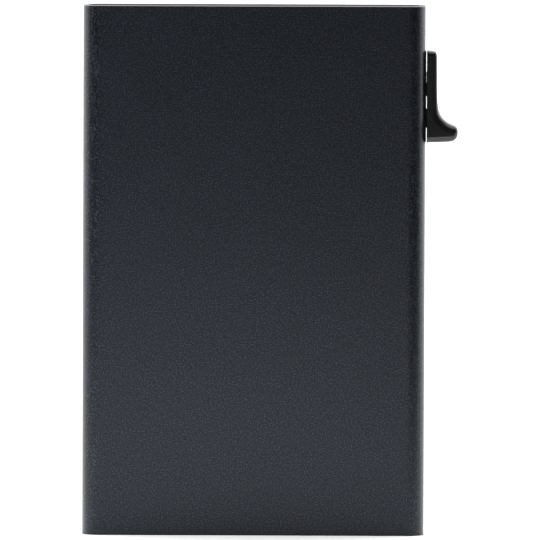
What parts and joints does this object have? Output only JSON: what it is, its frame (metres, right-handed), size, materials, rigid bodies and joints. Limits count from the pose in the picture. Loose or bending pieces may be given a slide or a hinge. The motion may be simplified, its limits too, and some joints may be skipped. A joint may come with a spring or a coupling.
{
  "type": "side-lever card wallet",
  "caption": "Slim black aluminium card sleeve, closed at the top and open at the bottom, whose side thumb lever slides down to fan the cards out of the mouth.",
  "frame": {"origin": "centre of the whole wallet's footprint, lever included, on the plane of the sleeve's mouth rim", "axes": "+Z from the open mouth to the closed end, -Y is the front face's outward direction, +X towards the side that carries the lever"},
  "size_m": [0.068, 0.009, 0.096],
  "materials": {
    "anodised_black": "black anodised, bead-blasted",
    "black_plastic": "moulded, fine matt",
    "lever_plastic": "moulded, semi-matt",
    "guide_plastic": "low-friction moulded, satin",
    "felt": "short-pile felt",
    "soft_foam": "closed-cell foam",
    "steel": "stainless, satin"
  },
  "bodies": {
    "sleeve": {"case_shell": "anodised_black", "end_cap": "black_plastic", "mouth_bezel": "black_plastic", "left_rail": "guide_plastic", "right_rail": "guide_plastic", "front_grip_pad": "felt", "back_grip_pad": "felt", "end_bumper": "soft_foam"},
    "slider": {"stepped_pusher": "guide_plastic", "slide_arm": "steel", "pusher_rivets": "steel", "drag_spring": "steel", "lever": "lever_plastic", "lever_screws": "steel"}
  },
  "joints": [
    {"name": "lever_slide", "type": "slide", "parent": "sleeve", "child": "slider", "axis": [0, 0, -1], "range_m": [0, 0.028]}
  ]
}
